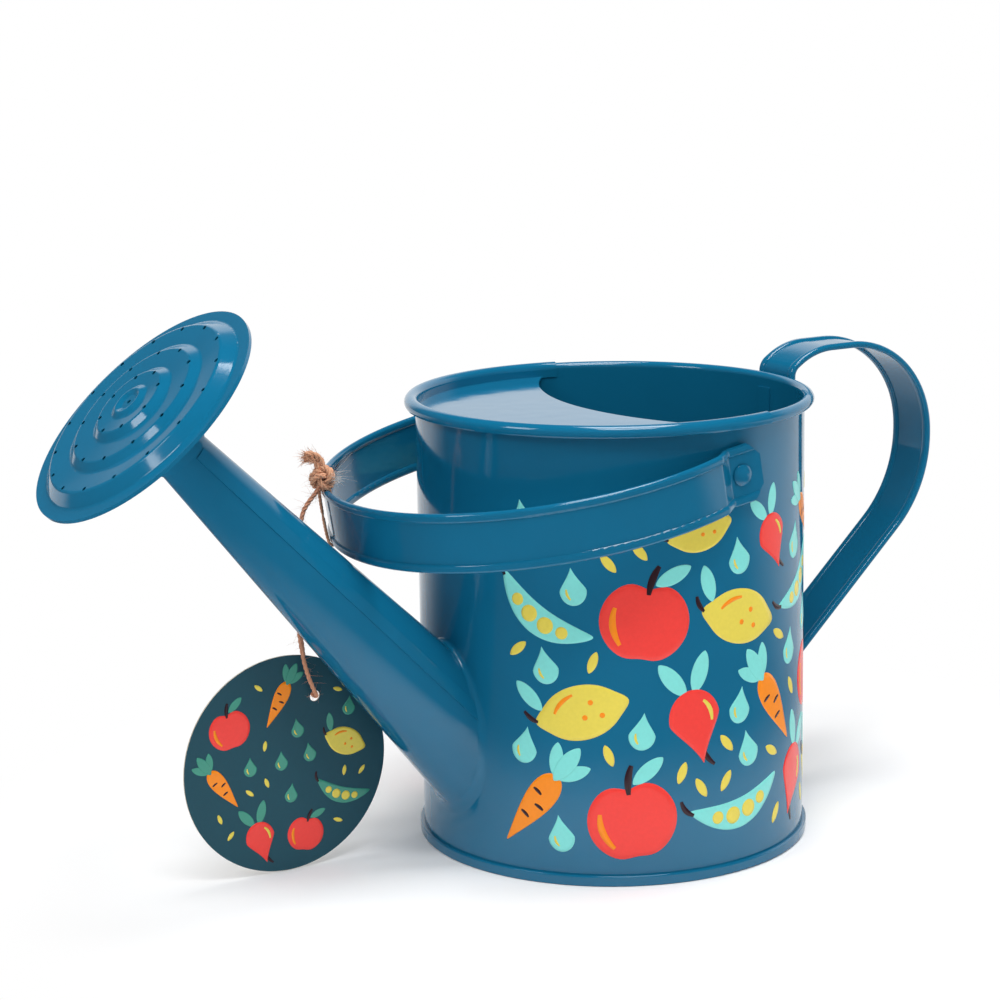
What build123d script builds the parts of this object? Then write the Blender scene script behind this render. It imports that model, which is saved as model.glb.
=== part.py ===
from build123d import *
import os
from math import cos, pi, radians, sin, sqrt, tan

# Small sheet-metal watering can, in millimetres.
# Origin: axis of the round body, at the level of the floor.
# +Z is up, the spout points towards -X and the rear handle towards +X.

# Body
BODY_RADIUS = 62.5
SHEET = 0.6
WALL_FOOT = 0.7
CURL_CENTRE_RADIUS = 63.75
CURL_HEIGHT = 142.8
CURL_RADIUS = 1.85
CURL_TUCK_ANGLE = 55.0
SEAM_WIDTH = 6.0
SEAM_STEP = 0.5
SEAM_FOOT = 4.0
SEAM_TOP = 140.0
SEAM_STRIP_DEPTH = 10.0

# Base
BASE_RECESS = 2.6
BASE_BAND_RADIUS = 63.8
BASE_BAND_HEIGHT = 3.4
BASE_BAND_ROUND = 0.55
BASE_LIP_RADIUS = 61.2
CHANNEL_GAP = 0.05
CORNER_REACH = 0.01

# Splash cover
COVER_SHEET = 0.4
COVER_TOP = 140.5
COVER_HALF_ANGLE = 106.0
COVER_EDGE_RADIUS = 94.0
COVER_EDGE_MIDDLE = -10.6
COVER_HEM_RADIUS = 0.7
COVER_CURL_END_ANGLE = 40.0
COVER_ROLL_GAP = 0.02

# Spout: a cone on a tilted axis
SPOUT_TILT = 47.5
SPOUT_ROOT = (-56.25, 0.0, 38.6)
SPOUT_ROOT_RADIUS = 18.35
SPOUT_TAPER = 0.0711
SPOUT_LENGTH = 147.0
SPOUT_BURIED = 30.0
SPOUT_SEAM_ANGLE = 72.0
SPOUT_SEAM_WIDTH = 4.0
SPOUT_SEAM_STEP = 0.3
SPOUT_SEAM_END = 138.0
STRIP_CLEARANCE = 2.0
SPOUT_HOLE_MARGIN = 1.5
SPOUT_HOLE_REACH = 60.0

# Rose
ROSE_RADIUS = 40.4
ROSE_FLANGE_FRONT = 156.6
ROSE_SHEET = 0.35
ROSE_LIP_DEPTH = 1.15
CRIMP_GAP = 0.05
ROSE_LIP_WIDTH = 1.7
ROSE_HOLE_RADIUS = 0.75
ROSE_DRILL_LENGTH = 40.0
ROSE_HOLE_RINGS = ((8, 11.3), (12, 21.4), (16, 31.4))
ROSE_FACE_STEPS = (
    (0.0, 5.5), (2.6, 5.5), (4.6, 6.4), (6.6, 5.3), (11.9, 5.7), (14.6, 3.9),
    (21.9, 4.3), (24.8, 2.6), (32.3, 3.2), (36.2, 0.0),
)
ROSE_FACE_ROUNDS = (0.6, 0.9, 1.1, 1.2, 1.2, 1.4, 1.4, 1.4, 1.4)
COLLAR_RADIUS = 8.5
COLLAR_FOOT = 139.0
COLLAR_TOP = 146.0
FUNNEL_EDGE = 38.0
FUNNEL_LANDING = 0.4

# Hemmed strap used for both handles
STRAP_WIDTH = 18.75
STRAP_WEB = 0.8
HEM_WIDTH = 3.0
HEM_THICKNESS = 2.2

# Rear handle, centre line of the strap in the XZ plane, with its bend radii
REAR_TAB_X = 62.95
REAR_TAB_FOOT = 28.0
REAR_LEG_START = 42.2
REAR_BACK_X = 124.8
REAR_ELBOW_Z = 100.3
REAR_TOP_Z = 152.5
REAR_SHOULDER_X = 76.0
REAR_RIM_X = 66.9
REAR_RIM_Z = 146.4
REAR_JOGGLE_TOP = 138.6
REAR_JOGGLE_FOOT = 133.8
REAR_TAB_END = 121.0
REAR_RADII = (5.0, 42.0, 33.0, 24.0, 4.5, 2.5, 2.5)

# Bail
PIVOT_X = 6.1
PIVOT_Z = 127.0
BAIL_DROP = 9.4
BAIL_RADIUS = 71.0
BAIL_CENTRE_X = -24.4
TAB_OFFSET = 63.9
TAB_TIP = 7.5
TAB_CHAMFER = 4.6
JOGGLE_START = 4.6
JOGGLE_END = 9.5
JOGGLE_ROUND = 2.4
TRIM_MARGIN = 1.0

# Bail rivets
RIVET_SHANK_RADIUS = 1.6
RIVET_PLAY = 0.05
RIVET_HEAD_RADIUS = 3.3
RIVET_HEAD_SEAT = 64.45
RIVET_HEAD_RIM = 0.4
RIVET_HEAD_HEIGHT = 1.7
RIVET_TAIL_RADIUS = 3.0
RIVET_TAIL_END = 60.0
RIVET_ZONE = 10.0

# Hang tag
TAG_RADIUS = 34.9
TAG_THICKNESS = 0.6
TAG_CENTRE = (-111.8, 16.0, 35.2)
TAG_HOLE = (-101.0, 55.6)
TAG_HOLE_RADIUS = 1.75

# Twine: a loop of jute from the knot, through the tag's hole and back to the knot
TWINE_RADIUS = 0.8
KNOT_Y = 21.0
KNOT_RADIUS = 4.2
KNOT_LIFT = 4.4
LOOP_PLAY = 0.15
LOOP_CORNER = 1.6
TAIL_TIPS = ((-98.6, 20.4, 131.8), (-90.6, 25.6, 130.6))
TAIL_RADII = (1.1, 1.7)
TWINE_ROUTE = (
    (-97.6, 20.0, 122.2),
    (-100.6, 19.4, 115.0),
    (-104.6, 17.4, 100.5),
    (-106.8, 15.2, 83.0),
    (-105.9, 13.2, 68.0),
    (-103.2, 13.1, 59.6),
    (-101.0, 13.6, 55.6),
    (-101.0, 18.0, 55.6),
    (-103.2, 18.6, 59.6),
    (-105.6, 19.0, 68.0),
    (-106.2, 19.8, 83.0),
    (-103.8, 21.0, 100.5),
    (-100.0, 22.6, 115.0),
    (-97.3, 23.1, 122.6),
)
ARC_SHARE = 0.45


def ring_sector(inner, outer, start, sweep_angle):
    """Flat ring between two radii, over part of a turn, centred on the origin."""
    return make_face(
        CenterArc((0, 0), outer, start, sweep_angle)
        + CenterArc((0, 0), inner, start, sweep_angle)
        + Line(polar(inner, start), polar(outer, start))
        + Line(polar(inner, start + sweep_angle), polar(outer, start + sweep_angle))
    )


def polar(radius, angle):
    return (radius * cos(radians(angle)), radius * sin(radians(angle)))


def spin(profile, angle=360.0):
    """Revolve a profile drawn in (radius, height) about Z."""
    return revolve(Plane.XZ * profile, axis=Axis.Z, revolution_arc=angle)


def upright_cylinder(radius, low, high):
    return Pos(0, 0, low) * Cylinder(radius, high - low, align=(Align.CENTER, Align.CENTER, Align.MIN))


def spout_frame():
    """Local +Z runs up the spout's axis, local +X is its upper side."""
    tilt = radians(SPOUT_TILT)
    return Plane(
        origin=SPOUT_ROOT,
        x_dir=(sin(tilt), 0, cos(tilt)),
        z_dir=(-cos(tilt), 0, sin(tilt)),
    )


def spout_cone(growth, low, high):
    """Solid cone along the spout's axis, grown or shrunk from the tube's outer face."""
    foot = SPOUT_ROOT_RADIUS - SPOUT_TAPER * low + growth
    top = SPOUT_ROOT_RADIUS - SPOUT_TAPER * high + growth
    solid = Cone(foot, top, high - low, align=(Align.CENTER, Align.CENTER, Align.MIN))
    return spout_frame() * Pos(0, 0, low) * solid


def body_wall():
    """Round wall with an outward-curled rim, a lap seam, and holes for the spout and rivets."""
    curl = ring_sector(CURL_RADIUS - SHEET, CURL_RADIUS, 180 + CURL_TUCK_ANGLE, 360 - CURL_TUCK_ANGLE)
    curl = Pos(CURL_CENTRE_RADIUS, CURL_HEIGHT) * curl
    wall_height = CURL_HEIGHT - WALL_FOOT
    wall = Pos(BODY_RADIUS - SHEET / 2, WALL_FOOT + wall_height / 2) * Rectangle(SHEET, wall_height)
    shell = spin(curl + wall)
    inner = BODY_RADIUS - SHEET
    seam = upright_cylinder(inner + SHEET / 2, SEAM_FOOT, SEAM_TOP)
    seam -= upright_cylinder(inner - SEAM_STEP, SEAM_FOOT, SEAM_TOP)
    strip = Pos(inner, 0, SEAM_FOOT) * Box(
        SEAM_STRIP_DEPTH, SEAM_WIDTH, SEAM_TOP - SEAM_FOOT, align=(Align.CENTER, Align.CENTER, Align.MIN)
    )
    shell += seam & strip
    shell -= spout_cone(-SHEET - SPOUT_HOLE_MARGIN, -SPOUT_BURIED, SPOUT_HOLE_REACH)
    pivot_hole = Cylinder(RIVET_SHANK_RADIUS, 3 * BODY_RADIUS, rotation=(90, 0, 0))
    shell -= Pos(PIVOT_X, 0, PIVOT_Z) * pivot_hole
    return shell


def base_plate():
    """Recessed disc whose edge forms a channel round the foot of the wall."""
    inside = BODY_RADIUS - SHEET - CHANNEL_GAP
    outside = BODY_RADIUS + CHANNEL_GAP
    floor_top = BASE_RECESS + SHEET
    outline = Polyline(
        (0, BASE_RECESS), (BASE_LIP_RADIUS, BASE_RECESS), (BASE_LIP_RADIUS, 0),
        (BASE_BAND_RADIUS, 0), (BASE_BAND_RADIUS, BASE_BAND_HEIGHT), (outside, BASE_BAND_HEIGHT),
        (outside, WALL_FOOT - CHANNEL_GAP), (inside, WALL_FOOT - CHANNEL_GAP), (inside, floor_top),
        (0, floor_top), close=True,
    )
    profile = make_face(outline)
    band_corners = profile.vertices().filter_by(lambda v: v.X > BASE_BAND_RADIUS - CORNER_REACH)
    return spin(fillet(band_corners, BASE_BAND_ROUND))


def splash_cover():
    """Half-moon plate with an upturned flange rolled over the rim and a hemmed free edge."""
    roll_inner = CURL_RADIUS + COVER_ROLL_GAP
    roll_outer = roll_inner + COVER_SHEET
    roll = ring_sector(roll_inner, roll_outer, -COVER_CURL_END_ANGLE, 180 + COVER_CURL_END_ANGLE)
    roll = Pos(CURL_CENTRE_RADIUS, CURL_HEIGHT) * roll
    flange_outer = CURL_CENTRE_RADIUS - roll_inner
    flange_low = COVER_TOP - COVER_SHEET
    flange_height = CURL_HEIGHT - flange_low
    flange = Pos(flange_outer - COVER_SHEET / 2, flange_low + flange_height / 2)
    flange = flange * Rectangle(COVER_SHEET, flange_height)
    cover = Rot(0, 0, 180 - COVER_HALF_ANGLE) * spin(roll + flange, 2 * COVER_HALF_ANGLE)
    plate_radius = flange_outer - COVER_SHEET / 2
    mouth_x = COVER_EDGE_MIDDLE + COVER_EDGE_RADIUS
    plate = Circle(plate_radius) - Pos(mouth_x, 0) * Circle(COVER_EDGE_RADIUS)
    cover += Pos(0, 0, flange_low) * extrude(plate, COVER_SHEET)
    hem = Pos(mouth_x, 0, flange_low) * Torus(COVER_EDGE_RADIUS + COVER_HEM_RADIUS / 2, COVER_HEM_RADIUS)
    trim = upright_cylinder(plate_radius, flange_low - 2 * COVER_HEM_RADIUS, COVER_TOP)
    return cover + (hem & trim)


def spout_tube():
    """Tapered tube with a raised lap seam, cut to sit on the wall."""
    tube = spout_cone(0, -SPOUT_BURIED, SPOUT_LENGTH)
    seam_layer = spout_cone(SPOUT_SEAM_STEP, -SPOUT_BURIED, SPOUT_SEAM_END)
    strip = Rot(0, 0, -SPOUT_SEAM_ANGLE) * Pos(SPOUT_ROOT_RADIUS, 0, 0)
    strip = strip * Box(2 * (SPOUT_ROOT_RADIUS - STRIP_CLEARANCE), SPOUT_SEAM_WIDTH, 4 * SPOUT_LENGTH)
    tube += seam_layer & (spout_frame() * strip)
    tube -= spout_cone(-SHEET, -SPOUT_BURIED, SPOUT_LENGTH)
    return tube - upright_cylinder(BODY_RADIUS, 0, CURL_HEIGHT)


def rose_back():
    """Shallow funnel from a collar on the spout out to the edge of the rose."""
    rim_top = ROSE_FLANGE_FRONT - ROSE_SHEET - CRIMP_GAP
    rim_low = rim_top - ROSE_SHEET
    rim_edge = ROSE_RADIUS - ROSE_SHEET - CRIMP_GAP
    outer = COLLAR_RADIUS + SHEET
    profile = make_face(
        Polyline(
            (COLLAR_RADIUS, COLLAR_FOOT), (outer, COLLAR_FOOT), (outer, COLLAR_TOP),
            (FUNNEL_EDGE, rim_low), (rim_edge, rim_low), (rim_edge, rim_top),
            (FUNNEL_EDGE - FUNNEL_LANDING, rim_top), (COLLAR_RADIUS, COLLAR_TOP + SHEET), close=True,
        )
    )
    return spout_frame() * spin(profile)


def rose_face():
    """Stepped dome with rings of holes, crimped round the edge of the funnel."""
    front_end = (ROSE_RADIUS, 0.0)
    crimp_low = -ROSE_LIP_DEPTH
    lip_inner = ROSE_RADIUS - ROSE_LIP_WIDTH
    front = FilletPolyline(*ROSE_FACE_STEPS, front_end, radius=ROSE_FACE_ROUNDS)
    back_steps = [(r, h - ROSE_SHEET) for r, h in ROSE_FACE_STEPS]
    back_end = (ROSE_RADIUS - ROSE_SHEET, -ROSE_SHEET)
    back = FilletPolyline(*back_steps, back_end, radius=ROSE_FACE_ROUNDS)
    crimp = Polyline(
        front_end, (ROSE_RADIUS, crimp_low), (lip_inner, crimp_low),
        (lip_inner, crimp_low + ROSE_SHEET), (ROSE_RADIUS - ROSE_SHEET, crimp_low + ROSE_SHEET), back_end,
    )
    centre = Line(back_steps[0], ROSE_FACE_STEPS[0])
    profile = make_face(front + crimp + back + centre)
    dome = spin(profile)
    drill = Cylinder(ROSE_HOLE_RADIUS, ROSE_DRILL_LENGTH)
    dome -= drill
    for count, radius in ROSE_HOLE_RINGS:
        dome -= [place * drill for place in PolarLocations(radius, count)]
    return spout_frame() * Pos(0, 0, ROSE_FLANGE_FRONT) * dome


def strap_section():
    """Flat web with a rounded hem along each edge."""
    hem_place = STRAP_WIDTH / 2 - HEM_WIDTH / 2
    section = Rectangle(STRAP_WIDTH - HEM_WIDTH, STRAP_WEB)
    for side in (-1, 1):
        section += Pos(side * hem_place, 0) * SlotOverall(HEM_WIDTH, HEM_THICKNESS)
    return section


def strap(path, width_dir):
    start = Plane(origin=path @ 0, x_dir=width_dir, z_dir=path % 0)
    return sweep(start * strap_section(), path=path)


def rear_handle():
    """Strap loop whose ends lie on the wall, stepped out round the rim."""
    route = (
        (REAR_TAB_X, REAR_TAB_FOOT), (REAR_TAB_X, REAR_LEG_START), (REAR_BACK_X, REAR_ELBOW_Z),
        (REAR_BACK_X, REAR_TOP_Z), (REAR_SHOULDER_X, REAR_TOP_Z), (REAR_RIM_X, REAR_RIM_Z),
        (REAR_RIM_X, REAR_JOGGLE_TOP), (REAR_TAB_X, REAR_JOGGLE_FOOT), (REAR_TAB_X, REAR_TAB_END),
    )
    path = FilletPolyline(*[(x, 0, z) for x, z in route], radius=REAR_RADII)
    return strap(path, (0, 1, 0)) - upright_cylinder(BODY_RADIUS, 0, CURL_HEIGHT)


def bail_tilt():
    """Turns the bail, drawn level, down onto the spout."""
    return Pos(PIVOT_X, 0, PIVOT_Z) * Rot(0, -BAIL_DROP, 0)


def bail_handle():
    """Strap bent round in a U, with joggled and chamfered ends pierced for the rivets."""
    centre = BAIL_CENTRE_X - PIVOT_X
    step_y = sqrt(BAIL_RADIUS**2 - (centre + JOGGLE_END) ** 2)
    near = [(TAB_TIP, -TAB_OFFSET), (-JOGGLE_START, -TAB_OFFSET), (-JOGGLE_END, -step_y)]
    far = [(x, -y) for x, y in reversed(near)]
    bow = ThreePointArc(near[2], (centre - BAIL_RADIUS, 0), far[0])
    outline = Wire([*Polyline(*near).edges(), bow, *Polyline(*far).edges()])
    bends = (-JOGGLE_START, -JOGGLE_END)
    corners = [v for v in outline.vertices() if min(abs(v.X - x) for x in bends) < CORNER_REACH]
    path = outline.fillet_2d(JOGGLE_ROUND, corners)
    band = strap(path, (0, 0, 1))
    half = STRAP_WIDTH / 2 + TRIM_MARGIN
    cut = TAB_CHAMFER + TRIM_MARGIN
    reach = centre - BAIL_RADIUS - STRAP_WIDTH
    side_view = make_face(
        Polyline(
            (reach, -half), (TAB_TIP - cut, -half), (TAB_TIP, cut - half), (TAB_TIP, half - cut),
            (TAB_TIP - cut, half), (reach, half), close=True,
        )
    )
    band &= extrude(Plane.XZ * side_view, 2 * BAIL_RADIUS, both=True)
    band -= Cylinder(RIVET_SHANK_RADIUS + RIVET_PLAY, 3 * BAIL_RADIUS, rotation=(90, 0, 0))
    return bail_tilt() * band


def bail_rivet(side):
    """Domed rivet through the bail's end and the wall, upset on the inside."""
    rim = RIVET_HEAD_SEAT + RIVET_HEAD_RIM
    crown = RIVET_HEAD_SEAT + RIVET_HEAD_HEIGHT
    dome_sagitta = RIVET_HEAD_HEIGHT - RIVET_HEAD_RIM
    dome_radius = (RIVET_HEAD_RADIUS**2 + dome_sagitta**2) / (2 * dome_sagitta)
    mid_angle = RIVET_HEAD_RADIUS / dome_radius / 2
    dome_mid = (dome_radius * sin(mid_angle), crown - dome_radius * (1 - cos(mid_angle)))
    shank_foot = BODY_RADIUS - 3 * SHEET
    profile = make_face(
        Polyline(
            (0, crown), (0, shank_foot), (RIVET_SHANK_RADIUS, shank_foot),
            (RIVET_SHANK_RADIUS, RIVET_HEAD_SEAT), (RIVET_HEAD_RADIUS, RIVET_HEAD_SEAT),
            (RIVET_HEAD_RADIUS, rim),
        )
        + ThreePointArc((RIVET_HEAD_RADIUS, rim), dome_mid, (0, crown))
    )
    place = Pos(PIVOT_X, 0, PIVOT_Z) * Rot(-90 * side, 0, 0)
    upset = place * upright_cylinder(RIVET_TAIL_RADIUS, RIVET_TAIL_END, BODY_RADIUS)
    upset &= upright_cylinder(BODY_RADIUS - SHEET, PIVOT_Z - RIVET_ZONE, PIVOT_Z + RIVET_ZONE)
    return place * spin(profile) + upset


def knot_place():
    """Frame at the bail's centre line beside its apex: +X outward, +Y along the strap, +Z across it."""
    centre = BAIL_CENTRE_X - PIVOT_X
    out_x = -sqrt(BAIL_RADIUS**2 - KNOT_Y**2)
    return bail_tilt() * Plane(
        origin=(centre + out_x, KNOT_Y, 0), x_dir=(out_x, KNOT_Y, 0), z_dir=(0, 0, 1)
    ).location


def twine_knot():
    """Loop of twine round the strap, the knot on its upper edge and two short ends."""
    place = knot_place()
    loop_wide = HEM_THICKNESS + 2 * (LOOP_PLAY + TWINE_RADIUS)
    loop_tall = STRAP_WIDTH + 2 * (LOOP_PLAY + TWINE_RADIUS)
    rounded = RectangleRounded(loop_wide, loop_tall, LOOP_CORNER)
    path = (Plane.XZ * rounded).faces()[0].outer_wire()
    start = Plane(origin=path @ 0, z_dir=path % 0)
    loop = sweep(start * Circle(TWINE_RADIUS), path=path)
    lump_centre = Vector(0, 0, STRAP_WIDTH / 2 + KNOT_LIFT)
    lump = Pos(lump_centre) * Sphere(KNOT_RADIUS)
    knot = place * (loop + lump)
    middle = (place * Pos(lump_centre)).position
    root_radius, tip_radius = TAIL_RADII
    for tip in TAIL_TIPS:
        run = Vector(tip) - middle
        tail = Cone(root_radius, tip_radius, run.length, align=(Align.CENTER, Align.CENTER, Align.MIN))
        knot += Plane(origin=middle, z_dir=run).location * tail
    return knot


def twine_radii():
    """Largest tangent arcs that the runs of the twine allow, one for each inner point."""
    points = [Vector(p) for p in TWINE_ROUTE]
    radii = []
    for before, here, after in zip(points, points[1:], points[2:]):
        run_in, run_out = here - before, after - here
        half_turn = radians(run_in.get_angle(run_out)) / 2
        radii.append(ARC_SHARE * min(run_in.length, run_out.length) / tan(half_turn))
    return radii


def twine_cord():
    """Tube of jute along straight runs joined by tangent arcs."""
    radii = twine_radii()
    path = FilletPolyline(*TWINE_ROUTE, radius=radii)
    start = Plane(origin=path @ 0, z_dir=path % 0)
    cord = sweep(start * Circle(TWINE_RADIUS), path=path)
    section = pi * TWINE_RADIUS**2
    print("twine length", round(path.length, 1), "bend radii", [round(r, 1) for r in radii])
    print("twine volume", round(cord.volume, 1), "section times length", round(section * path.length, 1))
    return cord


def hang_tag():
    """Round card standing on its edge beside the spout, with a punched hole."""
    x, y, z = TAG_CENTRE
    hole_x, hole_z = TAG_HOLE
    card = Pos(x, y, z) * Cylinder(TAG_RADIUS, TAG_THICKNESS, rotation=(90, 0, 0))
    punch = Cylinder(TAG_HOLE_RADIUS, 4 * TAG_THICKNESS, rotation=(90, 0, 0))
    return card - Pos(hole_x, y, hole_z) * punch


def main():
    os.makedirs("parts", exist_ok=True)
    nodes = {
        "body_wall": body_wall(),
        "base_plate": base_plate(),
        "splash_cover": splash_cover(),
        "spout_tube": spout_tube(),
        "rose_back": rose_back(),
        "rose_face": rose_face(),
        "rear_handle": rear_handle(),
        "bail_handle": bail_handle(),
        "bail_rivet_near": bail_rivet(-1),
        "bail_rivet_far": bail_rivet(1),
        "twine_knot": twine_knot(),
        "twine_cord": twine_cord(),
        "hang_tag": hang_tag(),
    }
    for name, shape in nodes.items():
        export_step(shape, f"parts/{name}.step")


main()
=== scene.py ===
"""Round enamelled watering can.

Glossy paint on the CAD pieces, print on the wall and the tag, a twine cord with its knot,
and the stage.
"""

import bpy
import numpy as np
from bpy.props import FloatProperty, FloatVectorProperty, PointerProperty
from mathutils import Matrix


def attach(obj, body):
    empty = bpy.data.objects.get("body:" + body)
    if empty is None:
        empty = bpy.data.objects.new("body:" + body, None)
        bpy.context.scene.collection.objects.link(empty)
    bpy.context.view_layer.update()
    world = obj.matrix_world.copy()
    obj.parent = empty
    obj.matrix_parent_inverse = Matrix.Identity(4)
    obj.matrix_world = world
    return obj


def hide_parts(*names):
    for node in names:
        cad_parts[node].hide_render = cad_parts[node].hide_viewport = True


bl_info = {
    "name": "Watering can finish",
    "version": (1, 0, 0),
    "blender": (4, 5, 0),
    "location": "3D View > Sidebar > Can",
    "description": "Paint, print, twine and stage of a round watering can",
    "category": "Object",
}

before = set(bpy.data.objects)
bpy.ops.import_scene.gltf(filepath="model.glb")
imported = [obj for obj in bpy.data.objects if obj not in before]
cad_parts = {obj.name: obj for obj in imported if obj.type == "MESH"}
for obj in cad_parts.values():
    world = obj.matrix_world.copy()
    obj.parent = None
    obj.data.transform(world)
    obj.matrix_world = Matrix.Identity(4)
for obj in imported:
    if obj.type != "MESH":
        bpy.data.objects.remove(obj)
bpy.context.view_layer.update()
MM = 0.001
SEED = 7

# Sizes of the solids, in millimetres
BODY_RADIUS = 62.5
SPOUT_ROOT = np.array([-56.25, 0.0, 38.6])
SPOUT_TILT = np.radians(47.5)
SPOUT_ROOT_RADIUS = 18.35
SPOUT_TAPER = 0.0711
PIVOT = np.array([6.1, 0.0, 127.0])
BAIL_DROP = np.radians(9.4)
BAIL_CENTRE_X = -30.5
BAIL_RADIUS = 71.0
STRAP_WIDTH = 18.75
HEM_THICKNESS = 2.2
KNOT_Y = 21.0
TAG_CENTRE = np.array([-111.8, 16.0, 35.2])
TAG_HALF = 0.3

# Coats of enamel: each one's tone, and the nodes it covers
COATS = {
    "outer_enamel": (1.0, ("body_wall", "spout_tube", "base_plate")),
    "cover_enamel": (1.02, ("splash_cover", "rose_face", "rose_back")),
    "strap_enamel": (0.98, ("rear_handle", "bail_handle", "bail_rivet_near", "bail_rivet_far")),
}

# Depth to which an edge of ink or solder sinks into its ground, in millimetres
EDGE_SINK = 0.02
# Bend of the solder between wall and spout, as a share of its reach
FILLET_KNEE = 0.12
# Middles of the two printed bands round the wall
NEAR_PRINT_ANGLE = np.radians(-86.0)
FAR_PRINT_ANGLE = np.radians(76.0)
# Reach of the doubled last rows of a filled outline and of a stroke
FILLED_RIM, STROKE_RIM = 1.004, 1.02
# Depths in the card between which its printed face ends, in millimetres
CARD_INK_DEPTHS = (0.03, 0.06)

# Twist: a ply's distance from the twine's middle and its end's size, as shares of its radius
PLY_SPREAD, PLY_END = 0.88, 0.3
# Share of its thickness that a loose fibre loses towards its tip
FIBRE_THINNING = 0.7
# Loose fibres: how many, shortest and longest, and thickness, in millimetres
HAIR_COUNT, HAIR_LENGTHS, HAIR_THICKNESS = 190, (0.8, 3.6), 0.05
FRAY_COUNT, FRAY_LENGTHS, FRAY_THICKNESS = 420, (1.0, 2.9), 0.075
FUZZ_COUNT, FUZZ_LENGTHS, FUZZ_THICKNESS = 190, (0.8, 2.6), 0.05
WISP_COUNT, WISP_LENGTHS, WISP_THICKNESS = 30, (2.5, 6.0), 0.07
# How far each kind leans from its way and curls, as shares of its length
HAIR_LEAN, HAIR_CURL = 1.6, 0.5
FRAY_LEAN, FRAY_CURL = 0.22, 0.3
FUZZ_LEAN, FUZZ_CURL = 0.9, 0.5
WISP_LEAN, WISP_CURL = 0.3, 0.4
# Distance of the hairs' roots from the twine's middle, and steps left bare at both its ends
HAIR_ROOT, HAIR_CLEAR = 0.5, 4
# Spread of the fray's roots across and through the tail, and how much it opens the fibres
FRAY_SPREAD, FRAY_SPLAY = (0.75, 0.5), 0.28

# Knot on the strap's upper edge, in millimetres; each ply is a share of the twine's ply radius.
# The knot's jute is the twine's colour made lighter by this share: painted light that makes up for
# the shade between the knot's plies
KNOT_PAINTED_LIGHT = 1.3
LOOP_PLY, LOOP_PITCH, LOOP_GAP = 0.7, 3.6, 0.75
LOOP_SHIFTS = (-2.9, -4.1)
BALL_PLY, BALL_PITCH, BALL_GAP = 1.32, 5.6, 0.9
BALL_LIFT, BALL_OUT = 3.5, 0.3
BALL_SIZE, BALL_WAVE, BALL_DEPTH = 1.18, 0.85, 1.6
FUZZ_RADIUS, WISP_RADIUS = 3.9, 3.0
TAIL_PLY, TAIL_PITCH, TAIL_GAP = 1.4, 7.0, 0.85
TAIL_RISE, TAIL_STEPS = 1.5, 40
TAIL_BEND = np.array([-93.8, 21.2, 131.4])
TAIL_TIP = np.array([-99.2, 21.0, 131.0])

# Twine from the knot through the tag's hole and back, in millimetres
TWINE_DIAMETER, TWINE_PITCH, TWINE_STEPS = 1.6, 5.2, 24
TWINE_SIDE = np.array([1.0, 0.12, 0.0])
TWINE_ROUTE = (
    (-94.0, 20.6, 122.4),
    (-95.6, 20.2, 119.9),
    (-99.4, 20.0, 116.6),
    (-102.0, 19.6, 112.6),
    (-104.6, 17.4, 100.5),
    (-106.8, 15.2, 83.0),
    (-105.9, 13.2, 68.0),
    (-103.2, 13.1, 59.6),
    (-101.0, 13.6, 55.6),
    (-101.0, 18.0, 55.6),
    (-103.2, 18.6, 59.6),
    (-102.7, 18.9, 67.0),
    (-104.2, 19.6, 82.0),
    (-103.4, 20.2, 100.0),
    (-100.9, 21.6, 112.2),
    (-98.3, 22.0, 116.1),
    (-94.6, 22.2, 119.4),
    (-93.2, 22.4, 121.8),
)

# Stage, in metres and watts
FLOOR_RADIUS = 6.0
FLOOR_RINGS, FLOOR_SPOKES = 24, 96
FLOOR_FADE = (0.11, 0.22)
SURROUND_STRENGTH = 0.35
# Surround as the gloss mirrors it: the way to its bright side, the steps where that side begins
# on the floor and round the room, how dim the rest is, and where and how far it darkens above
BRIGHT_SIDE = (0.75, 0.66, 0.0)
FLOOR_BRIGHT, WORLD_BRIGHT = (0.0, 0.3), (0.5, 0.75)
ROOM_DIM = 0.1
CEILING_STEP, CEILING_DIM = (0.46, 0.62), 0.14
# Name, place, target, width, height, power, and whether the gloss mirrors it
LIGHTS = (
    ("key_light", (-0.75, -0.6, 0.95), (-0.03, 0.0, 0.08), 0.45, 0.7, 1.8, False),
    ("side_light", (0.75, -0.95, 0.55), (0.0, 0.0, 0.08), 0.3, 0.9, 1.8, False),
    ("top_light", (0.1, -0.05, 1.25), (0.0, 0.0, 0.1), 0.6, 0.5, 9.2, True),
    ("strip_light", (-0.2, -0.6, 1.2), (0.0, 0.0, 0.1), 0.5, 0.32, 5.0, True),
    ("edge_light", (-0.93, -0.03, 0.78), (-0.165, 0.0, 0.155), 0.3, 0.36, 2.3, True),
)
CAMERA_PLACE = (-0.46079, -0.70956, 0.28600)
CAMERA_RIGHT = (0.8590, -0.5116, -0.0163)
CAMERA_ABOVE = (0.1183, 0.1674, 0.9788)
CAMERA_FORWARD = np.array([0.4980, 0.8428, -0.2043])
CAMERA_LENS, CAMERA_SENSOR = 95.87, 36.0


def colour(label, text, value):
    """A colour property with its default."""
    return FloatVectorProperty(
        name=label, description=text, subtype="COLOR", size=3, min=0.0, max=1.0, default=value
    )


def length(label, text, value):
    """A length property in metres."""
    return FloatProperty(
        name=label, description=text, subtype="DISTANCE", unit="LENGTH", default=value
    )


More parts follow.
